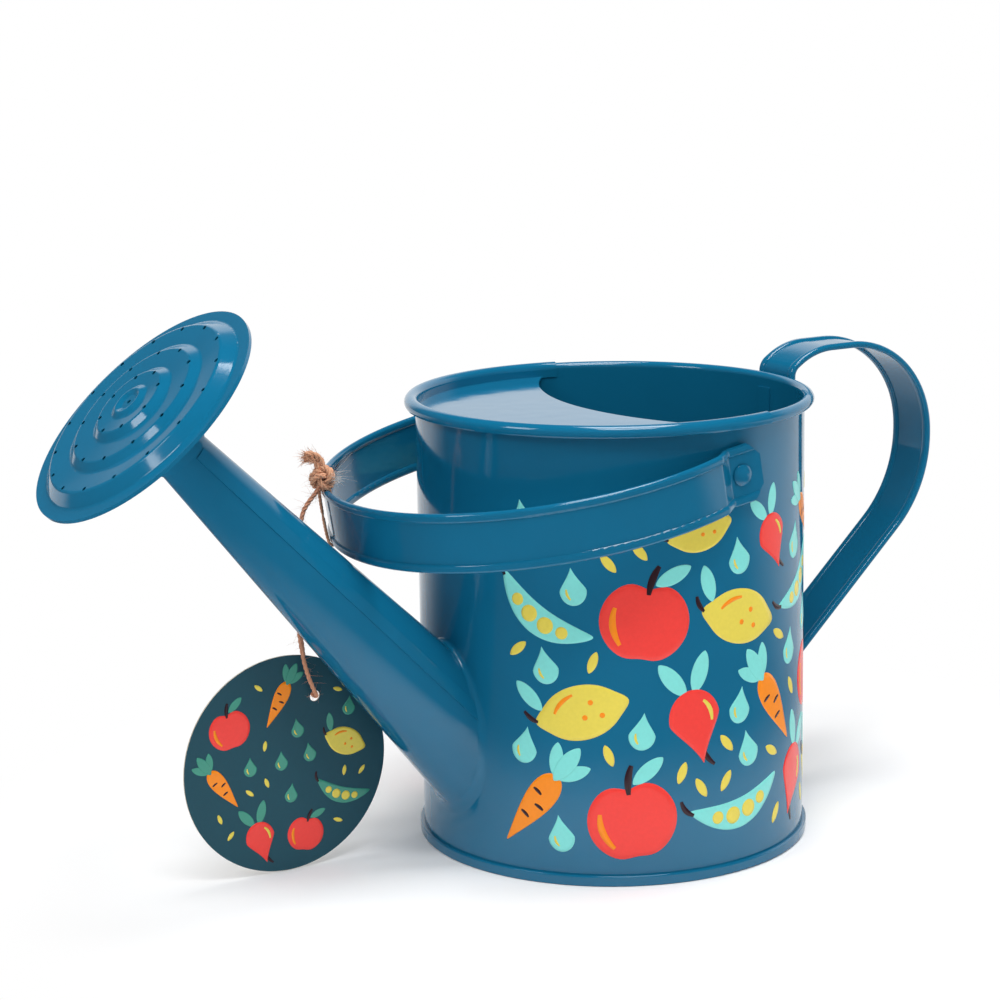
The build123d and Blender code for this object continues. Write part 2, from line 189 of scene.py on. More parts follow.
class CanFinish(bpy.types.PropertyGroup):
    """Colours and sizes of the can's finish."""

    enamel: colour("Enamel", "Blue paint of the metal", (0.005, 0.132, 0.252))
    red: colour("Red ink", "Apples and radishes", (0.89, 0.053, 0.043))
    orange: colour("Orange ink", "Carrots", (0.97, 0.27, 0.008))
    yellow: colour("Yellow ink", "Lemons and peas", (0.79, 0.65, 0.09))
    mint: colour("Mint ink", "Leaves, pods and drops", (0.22, 0.73, 0.68))
    fern: colour("Green ink", "Leaves, pods and drops of the tag", (0.055, 0.30, 0.22))
    maroon: colour("Dark ink", "Stems and ticks", (0.030, 0.011, 0.017))
    jute: colour("Jute", "Twine fibre", (0.66, 0.31, 0.185))
    # Wisps: stray fibres in a colour paler than the twine's
    wisp: colour("Wisps", "Bleached stray fibres of the knot", (0.86, 0.82, 0.76))
    card: colour("Card front", "Printed ground of the tag", (0.014, 0.074, 0.106))
    card_back: colour("Card back", "Unprinted side of the tag", (0.62, 0.55, 0.44))
    ink_lift: length("Ink lift", "Height of the print over its ground", 0.00006)
    layer_lift: length("Layer lift", "Height of each further layer of ink", 0.00003)
    fillet_leg: length("Solder fillet", "Reach of the solder at the spout's root", 0.0024)
    ply_radius: length("Ply radius", "Radius of one ply of the twine", 0.00038)


# Materials


def new_material(name):
    """A node material, with its tree and its main shader."""
    material = bpy.data.materials.new(name)
    material.use_nodes = True
    tree = material.node_tree
    return material, tree, tree.nodes["Principled BSDF"]


def noise(tree, scale, detail, stretch=(1.0, 1.0, 1.0)):
    """Noise over the piece's own coordinates, scale in cycles per metre, with a stretch by axis."""
    where = tree.nodes.new("ShaderNodeTexCoord")
    mapping = tree.nodes.new("ShaderNodeMapping")
    mapping.inputs["Scale"].default_value = stretch
    texture = tree.nodes.new("ShaderNodeTexNoise")
    texture.inputs["Scale"].default_value = scale
    texture.inputs["Detail"].default_value = detail
    tree.links.new(where.outputs["Object"], mapping.inputs["Vector"])
    tree.links.new(mapping.outputs["Vector"], texture.inputs["Vector"])
    return texture.outputs["Fac"]


def between(tree, fac, low, high):
    """A number that runs from low to high with fac."""
    node = tree.nodes.new("ShaderNodeMapRange")
    node.inputs["To Min"].default_value = low
    node.inputs["To Max"].default_value = high
    tree.links.new(fac, node.inputs["Value"])
    return node.outputs["Result"]


def clouded(tree, fac, base, dark, light):
    """A colour that runs from a darker to a lighter version of itself with fac."""
    node = tree.nodes.new("ShaderNodeMix")
    node.data_type = "RGBA"
    node.inputs["A"].default_value = (*shade(base, dark), 1.0)
    node.inputs["B"].default_value = (*shade(base, light), 1.0)
    tree.links.new(fac, node.inputs["Factor"])
    return node.outputs["Result"]


def bump(tree, shader, height, strength, distance, under=None):
    """Small relief on the shader's normal, on top of another relief where one is given."""
    node = tree.nodes.new("ShaderNodeBump")
    node.inputs["Strength"].default_value = strength
    node.inputs["Distance"].default_value = distance
    tree.links.new(height, node.inputs["Height"])
    if under is not None:
        tree.links.new(under, node.inputs["Normal"])
    tree.links.new(node.outputs["Normal"], shader.inputs["Normal"])
    return node.outputs["Normal"]


def shade(base, factor):
    """A lighter or darker version of a colour."""
    return tuple(min(1.0, c * factor) for c in base)


def dress(tree, shader, tint, rough, gloss):
    """Gives a shader its colour, its roughness and the strength of its reflection."""
    tree.links.new(tint, shader.inputs["Base Color"])
    tree.links.new(rough, shader.inputs["Roughness"])
    shader.inputs["Specular IOR Level"].default_value = gloss


def enamel(name, base):
    """Stoved gloss paint: faint clouding, uneven gloss, shallow dents in the sheet, orange peel."""
    material, tree, shader = new_material(name)
    tint = clouded(tree, noise(tree, scale=38.0, detail=4.0), base, dark=0.93, light=1.08)
    rough = between(tree, noise(tree, scale=120.0, detail=5.0), low=0.06, high=0.12)
    dress(tree, shader, tint, rough, gloss=0.5)
    dents = bump(tree, shader, noise(tree, scale=75.0, detail=1.0), strength=1.0, distance=0.0001)
    peel = noise(tree, scale=520.0, detail=2.0)
    bump(tree, shader, peel, strength=0.02, distance=0.0004, under=dents)
    return material


def ink(name, base):
    """Screen-printed ink: flat colour with a fine grain, a little duller than the paint."""
    material, tree, shader = new_material(name)
    grain = noise(tree, scale=900.0, detail=3.0)
    tint = clouded(tree, grain, base, dark=0.94, light=1.05)
    rough = between(tree, noise(tree, scale=260.0, detail=3.0), low=0.18, high=0.28)
    dress(tree, shader, tint, rough, gloss=0.35)
    bump(tree, shader, grain, strength=0.03, distance=0.0002)
    return material


def jute_fibre(name, base):
    """Dry bast fibre: streaked tan, dull, with a soft fuzz."""
    material, tree, shader = new_material(name)
    streak = noise(tree, scale=900.0, detail=4.0, stretch=(1.0, 1.0, 0.35))
    tint = clouded(tree, streak, base, dark=0.6, light=1.4)
    dress(tree, shader, tint, between(tree, streak, low=0.75, high=0.95), gloss=0.25)
    shader.inputs["Sheen Weight"].default_value = 0.25
    bump(tree, shader, noise(tree, scale=2600.0, detail=3.0), strength=0.5, distance=0.0003)
    return material


def printed_card(name, front, back):
    """Card with a printed front, a plain back and a plain cut edge, told apart by depth."""
    material, tree, shader = new_material(name)
    where = tree.nodes.new("ShaderNodeTexCoord")
    parts = tree.nodes.new("ShaderNodeSeparateXYZ")
    tree.links.new(where.outputs["Object"], parts.inputs["Vector"])
    depth = tree.nodes.new("ShaderNodeMapRange")
    for label, ink_depth in zip(("From Min", "From Max"), CARD_INK_DEPTHS):
        depth.inputs[label].default_value = (TAG_CENTRE[1] - TAG_HALF + ink_depth) * MM
    tree.links.new(parts.outputs["Y"], depth.inputs["Value"])
    pulp = noise(tree, scale=700.0, detail=5.0)
    printed = clouded(tree, pulp, front, dark=0.9, light=1.1)
    plain = clouded(tree, pulp, back, dark=0.9, light=1.06)
    side = tree.nodes.new("ShaderNodeMix")
    side.data_type = "RGBA"
    tree.links.new(depth.outputs["Result"], side.inputs["Factor"])
    tree.links.new(printed, side.inputs["A"])
    tree.links.new(plain, side.inputs["B"])
    rough = between(tree, pulp, low=0.42, high=0.6)
    dress(tree, shader, side.outputs["Result"], rough, gloss=0.25)
    bump(tree, shader, pulp, strength=0.05, distance=0.0002)
    return material


# Meshes


def add_piece(name, points, faces, body, material, slot):
    """A mesh piece, points in millimetres, that rides on a body and holds its material; the slot
    argument is not used.
    """
    mesh = bpy.data.meshes.new(name)
    mesh.from_pydata((np.asarray(points) * MM).tolist(), [], [list(map(int, f)) for f in faces])
    mesh.polygons.foreach_set("use_smooth", np.ones(len(mesh.polygons), dtype=bool))
    mesh.materials.append(material)
    mesh.update()
    piece = bpy.data.objects.new(name, mesh)
    bpy.context.scene.collection.objects.link(piece)
    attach(piece, body)
    return piece


def grid_faces(rows, columns, wrap=False):
    """Quads of a grid of points stored row by row; wrap joins the last column to the first."""
    across = columns if wrap else columns - 1
    row, column = np.meshgrid(np.arange(rows - 1), np.arange(across), indexing="ij")
    here = row * columns + column
    beside = row * columns + (column + 1) % columns
    return np.stack([here, beside, beside + columns, here + columns], axis=-1).reshape(-1, 4)


def joined(parts):
    """Several (points, faces) pairs as one."""
    points, faces, count = [], [], 0
    for part_points, part_faces in parts:
        points.append(part_points)
        faces.extend((np.asarray(f) + count for f in part_faces))
        count += len(part_points)
    return np.concatenate(points), faces


def unit(vectors):
    """Vectors scaled to length one."""
    return vectors / np.linalg.norm(vectors, axis=-1, keepdims=True)


def bow(first, bend, last, t):
    """Bow between two ends, drawn to a bend: (1-t)(1-t) first + 2t(1-t) bend + t t last."""
    return (1 - t) ** 2 * first + 2 * t * (1 - t) * bend + t**2 * last


def path_frames(path, reference):
    """Tangent, normal and binormal along a path.

    The normal is the reference less its part along the tangent, and the binormal is square to both.
    """
    tangent = unit(np.gradient(path, axis=0))
    along = (reference * tangent).sum(-1, keepdims=True)
    normal = unit(reference - along * tangent)
    return tangent, normal, np.cross(tangent, normal)


def rings_round(first, second, sides):
    """Rings of unit radius: cos a first + sin a second, for every pair of directions."""
    angle = np.linspace(0.0, 2.0 * np.pi, sides, endpoint=False)[None, :, None]
    return np.cos(angle) * first[:, None] + np.sin(angle) * second[:, None]


def tube(path, normal, binormal, radius, sides):
    """Round tube with flat ends: path + radius (cos a normal + sin a binormal)."""
    points = path[:, None] + radius[:, None, None] * rings_round(normal, binormal, sides)
    rows = len(path)
    faces = list(grid_faces(rows, sides, wrap=True)[:, ::-1])
    faces.append(np.arange(sides))
    faces.append(np.arange(sides)[::-1] + (rows - 1) * sides)
    return points.reshape(-1, 3), faces


def plies(path, reference, ply_radius, pitch, count=3, sides=7):
    """Twisted strands: path + spread (cos a normal + sin a binormal), a turning once in each pitch.

    The spread is a little less than a ply's radius, so the plies press on one another.
    """
    _, normal, binormal = path_frames(path, reference)
    run = np.r_[0.0, np.cumsum(np.linalg.norm(np.diff(path, axis=0), axis=1))]
    parts = []
    for ply in range(count):
        turn = 2.0 * np.pi * (run / pitch + ply / count)
        offset = np.cos(turn)[:, None] * normal + np.sin(turn)[:, None] * binormal
        radius = np.full(len(path), ply_radius)
        radius[[0, -1]] *= PLY_END
        parts.append(tube(path + PLY_SPREAD * ply_radius * offset, normal, binormal, radius, sides))
    return joined(parts)


def fibres(roots, directions, lengths, curls, thickness, steps=5, sides=3):
    """Loose fibres: root + length (direction t + curl t t), as tubes that thin to their tips."""
    t = np.linspace(0.0, 1.0, steps)
    middle = roots[:, None] + lengths[:, None, None] * (
        directions[:, None] * t[None, :, None] + curls[:, None] * t[None, :, None] ** 2
    )
    side = unit(np.cross(directions, curls + 1e-6))
    other = unit(np.cross(directions, side))
    ring = rings_round(side, other, sides)
    taper = thickness * (1.0 - FIBRE_THINNING * t)
    points = middle[:, :, None, :] + taper[None, :, None, None] * ring[:, None, :, :]
    one = grid_faces(steps, sides, wrap=True)
    count = steps * sides
    faces = (one[None] + (np.arange(len(roots)) * count)[:, None, None]).reshape(-1, 4)
    return points.reshape(-1, 3), list(faces)


# Print: flat outlines filled from a middle point, gathered into motifs


def outline_disc(t):
    """Circle."""
    return np.cos(t), np.sin(t)


def outline_apple(t):
    """Circle with a deep dip on top and a shallow one below."""
    top = np.exp(-((t - np.pi / 2) / 0.34) ** 2)
    foot = np.exp(-((t - 3 * np.pi / 2) / 0.3) ** 2)
    r = 1.0 - 0.22 * top - 0.1 * foot
    return 1.04 * r * np.cos(t), 0.96 * r * np.sin(t)


def outline_lemon(t):
    """Ellipse with a small nose at each end."""
    nose = 1.0 + 0.2 * np.abs(np.cos(t)) ** 14
    return 1.05 * np.cos(t) * nose, 0.72 * np.sin(t)


def outline_carrot(t):
    """Long root: its width falls from the shoulder to the tip."""
    return 0.62 * np.cos(t) * (0.58 + 0.42 * np.sin(t)), 1.3 * np.sin(t)


def outline_drop(t):
    """Circle drawn up into a point."""
    up = np.maximum(np.sin(t), 0.0)
    return 0.66 * np.cos(t) * (1.0 - 0.9 * up**1.4), np.sin(t) * (0.72 + 0.42 * up)


def outline_blade(t):
    """Lens with two points."""
    c = np.cos(t)
    return 0.4 * c * np.abs(c) ** 0.4, np.sin(t)


def outline_pod(t):
    """Long ellipse with pointed ends."""
    x = 1.35 * np.cos(t) * (1.0 + 0.12 * np.abs(np.cos(t)) ** 10)
    return x, 0.4 * np.sin(t)


def turned(x, z, turn):
    """Flat points turned about the middle: (x cos a - z sin a, x sin a + z cos a)."""
    c, s = np.cos(turn), np.sin(turn)
    return c * x - s * z, s * x + c * z


def filled(outline, size, turn, at, arch=0.0, rings=7, spokes=60):
    """Outline scaled by k from 0 to 1 on rings and spokes, with its ends raised by arch x x.

    The last ring is doubled, and its outer copy sinks into the ground.
    """
    t = np.linspace(0.0, 2.0 * np.pi, spokes, endpoint=False)
    x, z = outline(t)
    k = np.r_[np.linspace(0.0, 1.0, rings + 1)[1:], FILLED_RIM]
    x = np.r_[0.0, (k[:, None] * x).ravel()]
    z = np.r_[0.0, (k[:, None] * z).ravel()]
    z = z + arch * x**2
    flat = size * np.stack(turned(x, z, turn), axis=-1) + np.asarray(at)
    sink = np.zeros(len(flat))
    sink[-spokes:] = 1.0
    return flat, sink, disc_faces(rings + 1, spokes)


def disc_faces(rings, spokes):
    """Faces of a disc: a fan round its middle point, and the quads between its rings."""
    fan = [(0, 1 + j, 1 + (j + 1) % spokes) for j in range(spokes)]
    quads = grid_faces(rings, spokes, wrap=True) + 1
    return fan + list(quads[:, ::-1])


def stroke(points, width, at, size, turn, steps=14):
    """Ribbon along a bow, widest in its middle; its outer rows sink into the ground."""
    t = np.linspace(0.0, 1.0, steps)[:, None]
    line = bow(*np.array(points, dtype=float), t)
    along = unit(np.gradient(line, axis=0))
    across = np.c_[-along[:, 1], along[:, 0]]
    half = 0.5 * width * (0.55 + 0.45 * np.sin(np.pi * t))
    reach = np.array([-STROKE_RIM, -1.0, 0.0, 1.0, STROKE_RIM])
    grid = line[:, None, :] + (half * reach[None, :])[:, :, None] * across[:, None, :]
    x, z = (grid.reshape(-1, 2) * size).T
    flat = np.stack(turned(x, z, turn), axis=-1) + np.asarray(at)
    sink = np.tile(np.array([1.0, 0.0, 0.0, 0.0, 1.0]), steps)
    return flat, sink, list(grid_faces(steps, len(reach)))


def placed(size, turn, at):
    """Carries a motif's own point to its place in the print."""

    def place(x, z):
        along, up = turned(x, z, turn)
        return at[0] + size * along, at[1] + size * up

    return place


def motif_apple(size, turn, at):
    """Apple with a stem, a leaf and a bright cheek."""
    place = placed(size, turn, at)
    return [
        ("red", 0, filled(outline_apple, size, turn, at)),
        ("orange", 1, stroke(((-0.72, 0.25), (-0.82, -0.2), (-0.5, -0.6)), 0.16, at, size, turn)),
        ("maroon", 1, stroke(((0.0, 0.62), (0.0, 1.0), (0.16, 1.3)), 0.17, at, size, turn)),
        ("mint", 1, filled(outline_blade, 0.46 * size, turn - 1.0, place(0.52, 1.1))),
    ]


def motif_carrot(size, turn, at):
    """Carrot with ticks on its skin and three blades of green."""
    place = placed(size, turn, at)
    parts = [("orange", 0, filled(outline_carrot, size, turn, at))]
    for x, z, side in ((-0.32, 0.55, 1), (0.3, 0.2, -1), (-0.2, -0.25, 1)):
        tick = ((x, z), (x + 0.15 * side, z + 0.02), (x + 0.3 * side, z - 0.02))
        parts.append(("maroon", 1, stroke(tick, 0.1, at, size, turn)))
    for layer, (lean, tall) in enumerate(((0.55, 0.5), (-0.55, 0.5), (0.0, 0.62))):
        x, z = -0.62 * np.sin(lean), 1.2 + 0.55 * np.cos(lean)
        parts.append(("mint", layer, filled(outline_blade, tall * size, turn + lean, place(x, z))))
    return parts


def motif_lemon(size, turn, at):
    """Lemon with pores and a leaf."""
    place = placed(size, turn, at)
    parts = [("yellow", 0, filled(outline_lemon, size, turn, at))]
    for x, z in ((0.3, 0.2), (0.05, -0.15), (0.5, -0.2)):
        pore = filled(outline_disc, 0.07 * size, turn, place(x, z), rings=2, spokes=20)
        parts.append(("orange", 1, pore))
    shine = ((-0.7, 0.12), (-0.5, 0.42), (-0.1, 0.5))
    stem = ((-1.2, 0.0), (-1.4, 0.1), (-1.5, 0.35))
    parts.append(("orange", 1, stroke(shine, 0.11, at, size, turn)))
    parts.append(("maroon", 1, stroke(stem, 0.13, at, size, turn)))
    parts.append(("mint", 0, filled(outline_blade, 0.5 * size, turn + 0.5, place(-1.25, 0.72))))
    return parts


def motif_pod(size, turn, at):
    """Pea pod with a row of peas and a curled stalk."""
    arch = 0.22
    place = placed(size, turn, at)
    parts = [("mint", 0, filled(outline_pod, size, turn, at, arch))]
    for x, r in ((-0.75, 0.17), (-0.27, 0.23), (0.27, 0.23), (0.75, 0.17)):
        pea = filled(outline_disc, r * size, turn, place(x, arch * x * x), rings=3, spokes=32)
        parts.append(("yellow", 1, pea))
    stalk = ((-1.42, 0.42), (-1.68, 0.55), (-1.7, 0.88))
    parts.append(("maroon", 1, stroke(stalk, 0.14, at, size, turn)))
    return parts


def motif_radish(size, turn, at):
    """Round radish with a thin root and two leaves."""
    place = placed(size, turn, at)
    return [
        ("maroon", 0, stroke(((0.0, -0.7), (0.05, -1.2), (0.32, -1.5)), 0.16, at, size, turn)),
        ("mint", 0, filled(outline_blade, 0.62 * size, turn + 0.5, place(-0.42, 1.28))),
        ("mint", 0, filled(outline_blade, 0.62 * size, turn - 0.5, place(0.42, 1.28))),
        ("red", 1, filled(outline_drop, 1.18 * size, turn + np.pi, place(0.0, 0.0))),
        ("yellow", 2, stroke(((0.35, 0.45), (0.58, 0.2), (0.5, -0.2)), 0.13, at, size, turn)),
    ]


def motif_drop(size, turn, at):
    """Single drop of water with a glint."""
    return [
        ("mint", 0, filled(outline_drop, size, turn, at, rings=5, spokes=40)),
        ("yellow", 1, stroke(((-0.32, 0.1), (-0.36, -0.2), (-0.16, -0.42)), 0.13, at, size, turn)),
    ]


def motif_seed(size, turn, at):
    """Small pointed seed."""
    return [("yellow", 0, filled(outline_blade, size, turn, at, rings=3, spokes=28))]


MOTIFS = {
    "apple": motif_apple,
    "carrot": motif_carrot,
    "lemon": motif_lemon,
    "pod": motif_pod,
    "radish": motif_radish,
    "drop": motif_drop,
    "seed": motif_seed,
}
# Motif, half size, turn in degrees, place along the wall and up it, in millimetres
BODY_LAYOUT = (
    ("carrot", 11.0, -38, -66.3, 23.5), ("apple", 13.5, 8, -34.2, 21.0),
    ("pod", 12.0, 10, 3.2, 19.0), ("radish", 10.5, -18, 33.3, 25.1),
    ("lemon", 11.5, -20, 60.9, 21.4), ("lemon", 12.0, 16, -49.7, 55.5),
    ("radish", 11.0, 12, -14.0, 52.0), ("carrot", 11.0, 34, 20.2, 49.4),
    ("apple", 12.5, -8, 51.3, 53.7), ("pod", 11.5, -34, -63.6, 84.0),
    ("apple", 13.5, -8, -30.0, 84.0), ("lemon", 12.0, -14, 3.1, 82.2),
    ("pod", 11.0, 32, 39.2, 85.7), ("radish", 10.0, -10, 63.6, 86.7),
    ("carrot", 9.5, -62, -56.0, 107.7), ("lemon", 9.0, 12, -12.0, 111.0),
    ("radish", 8.5, 20, 18.0, 105.3), ("carrot", 9.0, 50, 48.4, 105.8),
    ("drop", 6.4, 10, 6.4, 38.0), ("drop", 6.4, -8, 29.4, 66.0), ("drop", 6.4, 6, -51.9, 93.7),
    ("drop", 6.4, -10, 33.6, 99.5), ("drop", 6.4, 8, 2.4, 100.2),
    ("drop", 6.4, -6, 65.1, 113.7), ("drop", 6.4, 10, -67.6, 114.0),
    ("drop", 6.4, -8, 46.1, 73.2), ("drop", 6.4, 6, 66.1, 37.2),
    ("drop", 6.4, -10, -68.4, 42.5), ("drop", 6.4, 8, -56.4, 15.0),
    ("drop", 6.4, -6, -31.1, 48.0), ("drop", 6.4, 10, -60.9, 68.5),
    ("drop", 6.3, -8, 2.6, 52.5), ("seed", 3.6, 40, -41.1, 102.4),
    ("seed", 3.6, -30, 20.4, 14.6), ("seed", 3.6, 20, 44.1, 14.6),
    ("seed", 3.6, -50, 53.6, 116.4), ("seed", 3.6, 30, 30.9, 53.9),
    ("seed", 3.6, -20, -18.4, 35.1), ("seed", 3.6, 60, 17.9, 35.9),
    ("seed", 3.6, 40, -31.6, 105.9), ("seed", 3.6, -30, -2.9, 30.4),
    ("seed", 3.6, 20, -41.4, 41.9), ("seed", 3.6, -50, -70.1, 74.4),
    ("seed", 3.6, 30, -11.9, 29.6), ("seed", 3.6, -20, -46.1, 71.4),
    ("seed", 3.6, 60, 21.9, 72.9), ("seed", 3.6, 40, -2.6, 42.6),
    ("seed", 3.6, -30, 68.6, 62.1),
)
# The same for the tag, from its middle
TAG_LAYOUT = (
    ("apple", 6.7, 10, -19.0, 14.0), ("carrot", 6.0, -30, -2.3, 19.6),
    ("lemon", 6.1, -24, 21.0, 4.0), ("carrot", 6.1, 36, -21.8, -4.6),
    ("pod", 6.5, -20, 18.9, -13.5), ("radish", 6.3, 14, -9.8, -22.7),
    ("apple", 6.1, -12, 6.0, -24.0), ("drop", 3.4, 0, -1.6, 0.5), ("drop", 3.4, 8, 4.4, 10.3),
    ("drop", 3.4, -8, 1.4, -10.5), ("drop", 3.4, 0, -12.4, 0.3), ("drop", 3.4, 8, 8.4, 1.8),
    ("drop", 3.4, -8, 22.6, 14.8), ("seed", 1.7, 20, -23.4, -14.1),
    ("seed", 1.7, -40, 26.6, -6.4), ("seed", 1.7, 50, -8.6, 25.9),
    ("seed", 1.7, -10, -7.1, 6.9), ("seed", 1.7, 70, 17.6, -21.6),
    ("seed", 1.7, 20, -6.9, -5.1), ("seed", 1.7, -40, -19.9, -20.1),
    ("seed", 1.7, 50, -12.9, -7.4), ("seed", 1.7, -10, 20.4, -5.6),
    ("seed", 1.7, 70, 18.9, 21.4),
)


def wrap_round_body(middle_angle):
    """Carries the flat print onto the wall: the angle is the middle's plus x over the radius."""

    def wrap(flat, lift):
        angle = middle_angle + flat[:, 0] / BODY_RADIUS
        radius = BODY_RADIUS + lift
        return np.c_[radius * np.cos(angle), radius * np.sin(angle), flat[:, 1]]

    return wrap


def lay_on_tag(flat, lift):
    """Carries the flat print onto the front of the card."""
    front = TAG_CENTRE[1] - TAG_HALF - lift
    return np.c_[TAG_CENTRE[0] + flat[:, 0], front, TAG_CENTRE[2] + flat[:, 1]]


def print_layout(layout, wrap, finish, flip=False):
    """All motifs of a layout, wrapped on their ground and gathered by ink."""
    inks = {}
    for name, size, turn, x, z in layout:
        if flip:
            turn, x = -turn, -x
        for tint, layer, (flat, sink, faces) in MOTIFS[name](size, np.radians(turn), (x, z)):
            height = (finish.ink_lift + layer * finish.layer_lift) / MM
            lift = height * (1.0 - sink) - EDGE_SINK * sink
            inks.setdefault(tint, []).append((wrap(flat, lift), faces))
    return {tint: joined(parts) for tint, parts in inks.items()}


# Operators, each followed by the functions that shape its pieces


def finish_settings(context):
    """The scene's finish settings."""
    return context.scene.can_finish


class CAN_OT_enamel(bpy.types.Operator):
    """Paint every sheet-metal node and the card of the tag"""

    bl_idname = "can.enamel"
    bl_label = "Enamel"

    def execute(self, context):
        finish = finish_settings(context)
        for coat, (tone, nodes) in COATS.items():
            material = enamel(coat, shade(finish.enamel, tone))
            for node in nodes:
                paint_node(node, material)
        paint_node("hang_tag", printed_card("tag_card", finish.card, finish.card_back))
        return {"FINISHED"}


def paint_node(node, material):
    """Puts a material in a CAD node's slot."""
    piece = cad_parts[node]
    if not piece.material_slots:
        piece.data.materials.append(material)
    for slot in piece.material_slots:
        slot.material = material


class CAN_OT_solder(bpy.types.Operator):
    """Add the painted solder fillet where the spout meets the wall"""

    bl_idname = "can.solder"
    bl_label = "Spout solder"

    def execute(self, context):
        finish = finish_settings(context)
        points, faces = solder_fillet(finish.fillet_leg / MM)
        material = bpy.data.materials["outer_enamel"]
        add_piece("spout_solder", points, faces, "can", material, "spout_paint")
        return {"FINISHED"}


def solder_fillet(leg, around=180, across=9):
    """Hollow fillet round the foot of the spout.

    For each angle round the spout, the line along its cone, start + s run, meets the wall where
    a s s + b s + c = 0. A bow from the wall to the cone, one leg from there, makes the fillet.
    """
    axis = np.array([-np.cos(SPOUT_TILT), 0.0, np.sin(SPOUT_TILT)])
    lift = np.array([np.sin(SPOUT_TILT), 0.0, np.cos(SPOUT_TILT)])
    side = np.array([0.0, 1.0, 0.0])
    angle = np.linspace(0.0, 2.0 * np.pi, around, endpoint=False)
    ring = np.cos(angle)[:, None] * lift + np.sin(angle)[:, None] * side
    start = SPOUT_ROOT + SPOUT_ROOT_RADIUS * ring
    run = axis - SPOUT_TAPER * ring
    a = run[:, 0] ** 2 + run[:, 1] ** 2
    b = 2.0 * (start[:, 0] * run[:, 0] + start[:, 1] * run[:, 1])
    c = start[:, 0] ** 2 + start[:, 1] ** 2 - BODY_RADIUS**2
    s = (-b + np.sqrt(np.maximum(b * b - 4.0 * a * c, 0.0))) / (2.0 * a)
    corner = start + s[:, None] * run
    seam = unit(np.roll(corner, -1, axis=0) - np.roll(corner, 1, axis=0))
    outward = np.c_[corner[:, :2] / BODY_RADIUS, np.zeros(around)]
    along_wall = np.cross(seam, outward)
    along_wall *= np.sign((along_wall * (corner - corner.mean(axis=0))).sum(-1))[:, None]
    on_wall = corner + leg * along_wall
    on_wall[:, :2] *= (BODY_RADIUS - EDGE_SINK) / np.linalg.norm(on_wall[:, :2], axis=1)[:, None]
    on_cone = corner + leg * unit(run) - EDGE_SINK * ring
    knee = corner + FILLET_KNEE * leg * (unit(run) + along_wall)
    t = np.linspace(0.0, 1.0, across)[None, :, None]
    surface = bow(on_wall[:, None], knee[:, None], on_cone[:, None], t)
    surface = surface.transpose(1, 0, 2).reshape(-1, 3)
    return surface, list(grid_faces(across, around, wrap=True))


class CAN_OT_body_print(bpy.types.Operator):
    """Print the kitchen-garden band on both sides of the wall"""

    bl_idname = "can.body_print"
    bl_label = "Wall print"

    def execute(self, context):
        finish = finish_settings(context)
        bands = (("near", NEAR_PRINT_ANGLE, False), ("far", FAR_PRINT_ANGLE, True))
        for side, angle, flip in bands:
            inks = print_layout(BODY_LAYOUT, wrap_round_body(angle), finish, flip)
            for tint, (points, faces) in inks.items():
                material = ink_material(finish, tint)
                add_piece(f"print_{side}_{tint}", points, faces, "can", material, "body_paint")
        return {"FINISHED"}


def ink_material(finish, tint):
    """The ink of one colour, made once."""
    name = f"ink_{tint}"
    return bpy.data.materials.get(name) or ink(name, getattr(finish, tint))


class CAN_OT_tag_print(bpy.types.Operator):
    """Print small motifs on the front of the tag"""

    bl_idname = "can.tag_print"
    bl_label = "Tag print"

    def execute(self, context):
        finish = finish_settings(context)
        for tint, (points, faces) in print_layout(TAG_LAYOUT, lay_on_tag, finish).items():
            tint = "fern" if tint == "mint" else tint
            material = ink_material(finish, tint)
            add_piece(f"tag_print_{tint}", points, faces, "tag", material, "tag_card")
        return {"FINISHED"}


class CAN_OT_twine(bpy.types.Operator):
    """Lay the twisted twine from the knot through the tag and back"""

    bl_idname = "can.twine"
    bl_label = "Twine"

    def execute(self, context):
        finish = finish_settings(context)
        material = jute_fibre("jute_twine", finish.jute)
        route = spline_points(TWINE_ROUTE, TWINE_STEPS)
        reference = np.tile(TWINE_SIDE, (len(route), 1))
        points, faces = plies(route, reference, finish.ply_radius / MM, TWINE_PITCH)
        cord = add_piece("twine_strands", points, faces, "tag", material, "jute")
        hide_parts("twine_cord")
        hairs = twine_hairs(np.random.default_rng(SEED), route, reference, HAIR_COUNT)
        fuzz = add_piece("twine_fuzz", *hairs, "tag", material, "jute")
        return {"FINISHED"}


def twine_hairs(rng, route, reference, count):
    """Hairs that stand off the twine on all sides and lean along it, clear of its two ends."""
    tangent, normal, binormal = path_frames(route, reference)
    at = rng.integers(HAIR_CLEAR, len(route) - HAIR_CLEAR, count)
    turn = rng.uniform(0.0, 2.0 * np.pi, count)
    out = np.cos(turn)[:, None] * normal[at] + np.sin(turn)[:, None] * binormal[at]
    lean = unit(out + rng.uniform(-HAIR_LEAN, HAIR_LEAN, count)[:, None] * tangent[at])
    curls = HAIR_CURL * rng.normal(size=(count, 3))
    lengths = rng.uniform(*HAIR_LENGTHS, count)
    return fibres(route[at] + HAIR_ROOT * out, lean, lengths, curls, HAIR_THICKNESS)


def spline_points(route, resolution):
    """Points of a smooth spline whose control points are the route's, in millimetres."""
    curve = bpy.data.curves.new("twine_route", "CURVE")
    curve.dimensions = "3D"
    spline = curve.splines.new("NURBS")
    spline.points.add(len(route) - 1)
    control = np.c_[np.asarray(route) * MM, np.ones(len(route))]
    spline.points.foreach_set("co", control.ravel())
    spline.use_endpoint_u = True
    spline.order_u = 3
    spline.resolution_u = resolution
    holder = bpy.data.objects.new("twine_route", curve)
    mesh = bpy.data.meshes.new_from_object(holder)
    line = np.empty(3 * len(mesh.vertices))
    mesh.vertices.foreach_get("co", line)
    bpy.data.meshes.remove(mesh)
    bpy.data.objects.remove(holder)
    bpy.data.curves.remove(curve)
    return line.reshape(-1, 3) / MM


